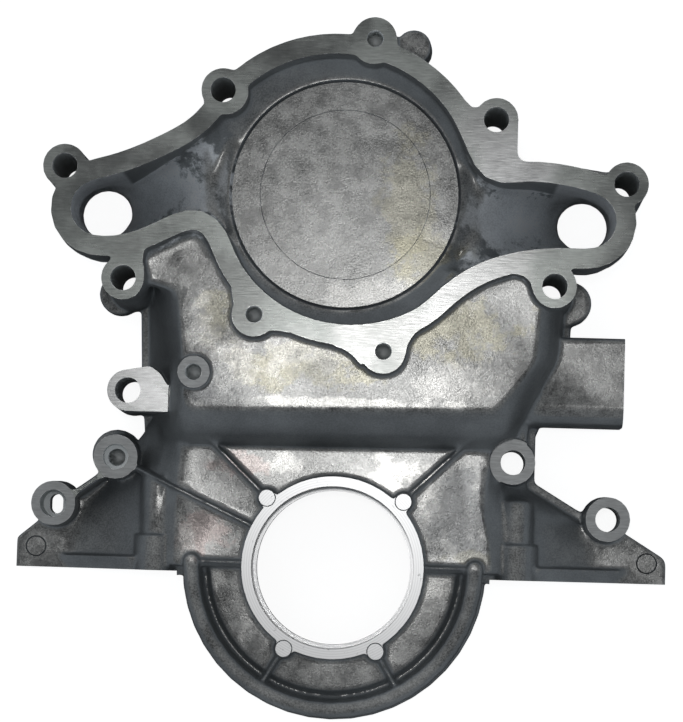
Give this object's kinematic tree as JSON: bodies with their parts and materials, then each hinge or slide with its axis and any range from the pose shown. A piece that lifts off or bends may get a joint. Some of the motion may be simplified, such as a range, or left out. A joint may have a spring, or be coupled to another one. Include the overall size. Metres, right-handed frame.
{
  "type": "timing cover",
  "caption": "Cast aluminium engine timing cover with a water pump chamber, two side passages, a crankshaft seal bore, an oil pan rail and a fuel pump pad.",
  "frame": {"origin": "centre of the cover's outline, on the block gasket face it lies on", "axes": "+Z away from the engine, out of the water pump face; +Y up the engine, from the crankshaft bore to the pump chamber; +X towards the fuel pump pad"},
  "size_m": [0.3056, 0.3242, 0.066],
  "materials": {
    "cast_aluminium": "as-cast aluminium, mottled and lightly stained, with bright machined faces"
  },
  "bodies": {
    "root": {"timing_cover": "cast_aluminium"}
  },
  "joints": []
}
